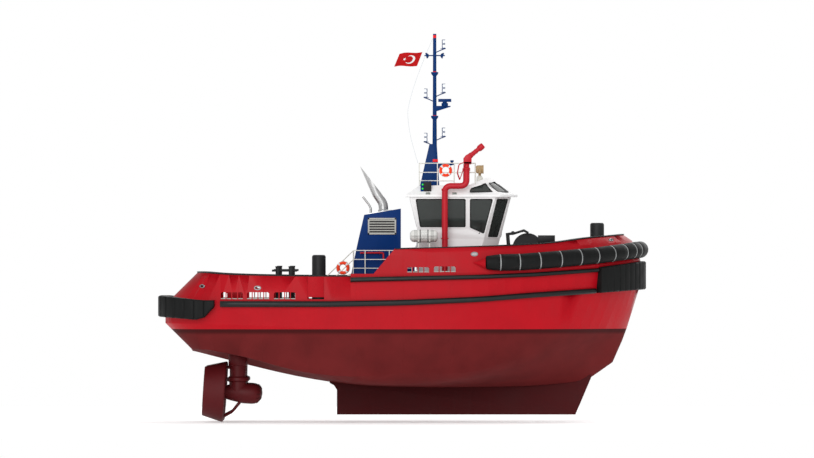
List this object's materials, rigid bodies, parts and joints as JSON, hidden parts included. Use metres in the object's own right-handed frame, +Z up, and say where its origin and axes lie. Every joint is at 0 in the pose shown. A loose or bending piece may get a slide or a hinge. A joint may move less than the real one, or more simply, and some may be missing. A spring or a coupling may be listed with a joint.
{
  "type": "harbor tug",
  "caption": "Harbor tug with wheelhouse, mast, fire monitors, hawser winch, rubber fenders and azimuth thrusters that steer below the stern.",
  "frame": {"origin": "amidships on the centreline, at the waterline", "axes": "+X towards the bow, +Y to port, +Z up"},
  "size_m": [25.2014, 12.121, 19.9343],
  "materials": {
    "hull_red": "gloss paint",
    "antifouling": "matte paint",
    "casing_blue": "gloss paint",
    "house_white": "satin paint",
    "fire_red": "gloss paint",
    "lamp_tan": "satin paint",
    "machinery_black": "satin paint",
    "fender_rubber": "matte",
    "window_glass": "tinted",
    "exhaust_steel": "brushed",
    "propeller_bronze": "cast bronze",
    "raft_shell": "moulded"
  },
  "bodies": {
    "ship": {"hull": "hull_red", "forecastle": "hull_red", "skeg": "antifouling", "bulwark_stern": "hull_red", "bulwark_aft_starboard": "hull_red", "bulwark_aft_port": "hull_red", "bulwark_bow": "hull_red", "bulwark_fore_starboard": "hull_red", "bulwark_fore_port": "hull_red", "rub_rail_lower_starboard": "fender_rubber", "rub_rail_lower_port": "fender_rubber", "rub_rail_upper_starboard": "fender_rubber", "rub_rail_upper_port": "fender_rubber", "stern_fender": "fender_rubber", "bow_fender_block": "fender_rubber", "bow_fender_cylinder": "fender_rubber", "fender_fairing_starboard": "hull_red", "fender_fairing_port": "hull_red", "deckhouse": "house_white", "wheelhouse": "house_white", "wheelhouse_glazing": "window_glass", "wheelhouse_roof": "house_white", "exhaust_casing_starboard": "casing_blue", "exhaust_casing_port": "casing_blue", "exhaust_pipes_starboard": "exhaust_steel", "exhaust_pipes_port": "exhaust_steel", "mast": "casing_blue", "fire_main_starboard": "fire_red", "fire_main_port": "fire_red", "searchlight_seat": "house_white", "roof_rail": "house_white", "casing_rail_starboard": "house_white", "casing_rail_port": "house_white", "liferaft_starboard": "raft_shell", "liferaft_port": "raft_shell", "winch_frame": "machinery_black", "bow_staple": "machinery_black", "aft_staple": "machinery_black", "side_bitts_starboard": "machinery_black", "side_bitts_port": "machinery_black", "deck_hatch": "hull_red", "thruster_pad_starboard": "antifouling", "thruster_pad_port": "antifouling"},
    "starboard_gate": {"gate_starboard": "hull_red"},
    "port_gate": {"gate_port": "hull_red"},
    "door": {"deckhouse_door": "house_white"},
    "lid": {"hatch_lid": "hull_red"},
    "upper_scanner": {"radar_scanner_upper": "casing_blue"},
    "lower_scanner": {"radar_scanner_lower": "casing_blue"},
    "starboard_monitor": {"monitor_base_starboard": "fire_red"},
    "starboard_barrel": {"monitor_barrel_starboard": "fire_red"},
    "port_monitor": {"monitor_base_port": "fire_red"},
    "port_barrel": {"monitor_barrel_port": "fire_red"},
    "lamp": {"searchlight": "lamp_tan"},
    "drum": {"winch_drum": "machinery_black"},
    "starboard_thruster": {"thruster_starboard": "antifouling"},
    "starboard_propeller": {"propeller_starboard": "propeller_bronze"},
    "port_thruster": {"thruster_port": "antifouling"},
    "port_propeller": {"propeller_port": "propeller_bronze"}
  },
  "joints": [
    {"name": "gate_swing_starboard", "type": "hinge", "parent": "ship", "child": "starboard_gate", "pos_m": [-4.874, -5.437, 1.49], "axis": [0, 0.1179, 0.993], "range_deg": [0, 90]},
    {"name": "gate_swing_port", "type": "hinge", "parent": "ship", "child": "port_gate", "pos_m": [-4.874, 5.437, 1.49], "axis": [0, 0.1179, -0.993], "range_deg": [0, 90]},
    {"name": "door_swing", "type": "hinge", "parent": "ship", "child": "door", "pos_m": [0.6647, 0.36, 3], "axis": [0, 0, -1], "range_deg": [0, 110]},
    {"name": "hatch_lift", "type": "hinge", "parent": "ship", "child": "lid", "pos_m": [-9.1, 0, 1.9703], "axis": [0, -1, 0], "range_deg": [0, 100]},
    {"name": "radar_spin_upper", "type": "hinge", "parent": "ship", "child": "upper_scanner", "pos_m": [2.15, 0, 11.61], "axis": [0, 0, 1], "continuous": true},
    {"name": "radar_spin_lower", "type": "hinge", "parent": "ship", "child": "lower_scanner", "pos_m": [2.52, 0, 8.54], "axis": [0, 0, 1], "continuous": true},
    {"name": "monitor_train_starboard", "type": "hinge", "parent": "ship", "child": "starboard_monitor", "pos_m": [3.26, -2.8, 8.18], "axis": [0, 0, 1], "range_deg": [-90, 90]},
    {"name": "monitor_elevate_starboard", "type": "hinge", "parent": "starboard_monitor", "child": "starboard_barrel", "pos_m": [3.33, -2.8, 8.78], "axis": [0, -1, 0], "range_deg": [-44, 41]},
    {"name": "monitor_train_port", "type": "hinge", "parent": "ship", "child": "port_monitor", "pos_m": [3.26, 2.8, 8.18], "axis": [0, 0, 1], "range_deg": [-90, 90]},
    {"name": "monitor_elevate_port", "type": "hinge", "parent": "port_monitor", "child": "port_barrel", "pos_m": [3.33, 2.8, 8.78], "axis": [0, -1, 0], "range_deg": [-44, 41]},
    {"name": "searchlight_train", "type": "hinge", "parent": "ship", "child": "lamp", "pos_m": [3.95, 0, 7.87], "axis": [0, 0, 1], "range_deg": [-170, 170]},
    {"name": "drum_spin", "type": "hinge", "parent": "ship", "child": "drum", "pos_m": [6.41, 0, 4.14], "axis": [0, 1, 0], "continuous": true},
    {"name": "thruster_steer_starboard", "type": "hinge", "parent": "ship", "child": "starboard_thruster", "pos_m": [-8.46, -2.7, -1.89], "axis": [0, 0, 1], "continuous": true},
    {"name": "propeller_spin_starboard", "type": "hinge", "parent": "starboard_thruster", "child": "starboard_propeller", "pos_m": [-8.46, -2.7, -3.29], "axis": [-0.998, 0, 0.0628], "continuous": true},
    {"name": "thruster_steer_port", "type": "hinge", "parent": "ship", "child": "port_thruster", "pos_m": [-8.46, 2.7, -1.89], "axis": [0, 0, 1], "continuous": true},
    {"name": "propeller_spin_port", "type": "hinge", "parent": "port_thruster", "child": "port_propeller", "pos_m": [-8.46, 2.7, -3.29], "axis": [-0.998, 0, 0.0628], "continuous": true}
  ]
}
